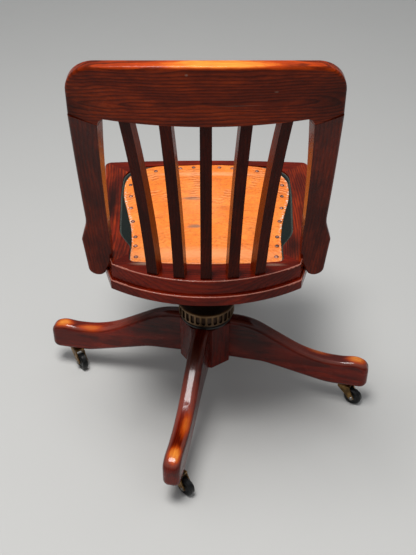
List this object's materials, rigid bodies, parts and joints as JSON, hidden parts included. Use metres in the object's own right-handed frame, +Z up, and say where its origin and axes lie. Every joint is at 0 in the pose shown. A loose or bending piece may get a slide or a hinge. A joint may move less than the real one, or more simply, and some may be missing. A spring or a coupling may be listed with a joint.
{
  "type": "bankers swivel chair",
  "caption": "Wooden swivel desk chair with a slatted bent back, nailed leather seat, height screw, sprung tilt and legs on casters.",
  "frame": {"origin": "on the floor under the swivel axis, which is also the middle of the footprint", "axes": "+Z up, the seat faces -Y, its back is towards +Y, +X is the sitter's left"},
  "size_m": [0.6794, 0.6794, 0.857],
  "materials": {
    "frame_wood": "gloss",
    "hidden_wood": "matt",
    "black_iron": "satin",
    "bronzed_iron": "satin",
    "bright_steel": "satin",
    "caster_brass": "aged",
    "caster_steel": "satin",
    "caster_tread": "satin",
    "buffer_rubber": "matt",
    "seat_leather": "satin",
    "green_cloth": "matt",
    "nail_bronze": "aged"
  },
  "bodies": {
    "base": {"hub_post": "frame_wood", "leg_1": "frame_wood", "leg_2": "frame_wood", "leg_3": "frame_wood", "leg_4": "frame_wood", "leg_dowels": "hidden_wood", "hub_collar": "black_iron", "screw_key": "black_iron", "caster_sleeves": "caster_brass"},
    "ring": {"adjusting_ring": "bronzed_iron"},
    "screw": {"height_screw": "bright_steel", "screw_nut": "bright_steel"},
    "yoke": {"swivel_yoke": "black_iron", "tilt_buffer": "buffer_rubber", "tension_spring": "bright_steel"},
    "trunnion": {"tension_trunnion": "bright_steel"},
    "rod": {"tension_rod": "bright_steel", "tension_knob": "black_iron"},
    "spring_plate": {"spring_seat": "black_iron"},
    "caster_1": {"caster_fork_1": "caster_brass", "caster_axle_1": "caster_steel"},
    "wheel_1": {"caster_wheel_1": "caster_tread"},
    "caster_2": {"caster_fork_2": "caster_brass", "caster_axle_2": "caster_steel"},
    "wheel_2": {"caster_wheel_2": "caster_tread"},
    "caster_3": {"caster_fork_3": "caster_brass", "caster_axle_3": "caster_steel"},
    "wheel_3": {"caster_wheel_3": "caster_tread"},
    "caster_4": {"caster_fork_4": "caster_brass", "caster_axle_4": "caster_steel"},
    "wheel_4": {"caster_wheel_4": "caster_tread"},
    "seat": {"front_rail": "frame_wood", "rear_rail": "frame_wood", "left_rail": "frame_wood", "right_rail": "frame_wood", "front_apron": "frame_wood", "rear_apron": "frame_wood", "left_apron": "frame_wood", "right_apron": "frame_wood", "crest_rail": "frame_wood", "left_stile": "frame_wood", "right_stile": "frame_wood", "slat_1": "frame_wood", "slat_2": "frame_wood", "slat_3": "frame_wood", "slat_4": "frame_wood", "slat_5": "frame_wood", "left_batten": "hidden_wood", "right_batten": "hidden_wood", "seat_board": "hidden_wood", "seat_spider": "black_iron", "tilt_pin": "bright_steel", "spider_screws": "bright_steel", "stile_screws": "bright_steel", "seat_leather": "seat_leather", "seat_cloth": "green_cloth", "upholstery_nails": "nail_bronze"}
  },
  "joints": [
    {"name": "ring_turn", "type": "hinge", "parent": "base", "child": "ring", "pos_m": [0, 0, 0.218], "axis": [0, 0, 1], "range_deg": [0, 3375]},
    {"name": "seat_height", "type": "slide", "parent": "base", "child": "screw", "axis": [0, 0, 1], "range_m": [0, 0.0755]},
    {"name": "seat_swivel", "type": "hinge", "parent": "screw", "child": "yoke", "pos_m": [0, 0, 0.268], "axis": [0, 0, 1], "continuous": true},
    {"name": "seat_tilt", "type": "hinge", "parent": "yoke", "child": "seat", "pos_m": [0, 0, 0.33], "axis": [-1, 0, 0], "range_deg": [0, 12], "stiffness_Nm_per_rad": 60, "springref_deg": -14.9, "deforming": ["tension_spring"]},
    {"name": "trunnion_turn", "type": "hinge", "parent": "seat", "child": "trunnion", "pos_m": [0, -0.092, 0.33], "axis": [-1, 0, 0], "range_deg": [-12.5, 0.5]},
    {"name": "rod_turn", "type": "hinge", "parent": "trunnion", "child": "rod", "pos_m": [0, -0.092, 0.27], "axis": [0, 0, 1], "range_deg": [0, 1441]},
    {"name": "spring_plate_slide", "type": "slide", "parent": "trunnion", "child": "spring_plate", "axis": [0, 0, 1], "range_m": [0, 0.006]},
    {"name": "caster_swivel_1", "type": "hinge", "parent": "base", "child": "caster_1", "pos_m": [0.29243, -0.05737, 0.06], "axis": [0, 0, 1], "continuous": true},
    {"name": "wheel_spin_1", "type": "hinge", "parent": "caster_1", "child": "wheel_1", "pos_m": [0.279, -0.03747, 0.019], "axis": [0.829, 0.5592, 0], "continuous": true},
    {"name": "caster_swivel_2", "type": "hinge", "parent": "base", "child": "caster_2", "pos_m": [0.05737, 0.29243, 0.06], "axis": [0, 0, 1], "continuous": true},
    {"name": "wheel_spin_2", "type": "hinge", "parent": "caster_2", "child": "wheel_2", "pos_m": [0.03926, 0.30817, 0.019], "axis": [0.6561, 0.7547, 0], "continuous": true},
    {"name": "caster_swivel_3", "type": "hinge", "parent": "base", "child": "caster_3", "pos_m": [-0.29243, 0.05737, 0.06], "axis": [0, 0, 1], "continuous": true},
    {"name": "wheel_spin_3", "type": "hinge", "parent": "caster_3", "child": "wheel_3", "pos_m": [-0.313, 0.06973, 0.019], "axis": [0.515, 0.8572, 0], "continuous": true},
    {"name": "caster_swivel_4", "type": "hinge", "parent": "base", "child": "caster_4", "pos_m": [-0.05737, -0.29243, 0.06], "axis": [0, 0, 1], "continuous": true},
    {"name": "wheel_spin_4", "type": "hinge", "parent": "caster_4", "child": "wheel_4", "pos_m": [-0.07343, -0.27459, 0.019], "axis": [0.7431, 0.6691, 0], "continuous": true}
  ],
  "couplings": [
    {"joint": "seat_height", "follows": "ring_turn", "m_per_rad": 0.0012732},
    {"joint": "trunnion_turn", "follows": "seat_tilt", "ratio": -1},
    {"joint": "rod_turn", "follows": "spring_plate_slide", "rad_per_m": 4188.8}
  ]
}
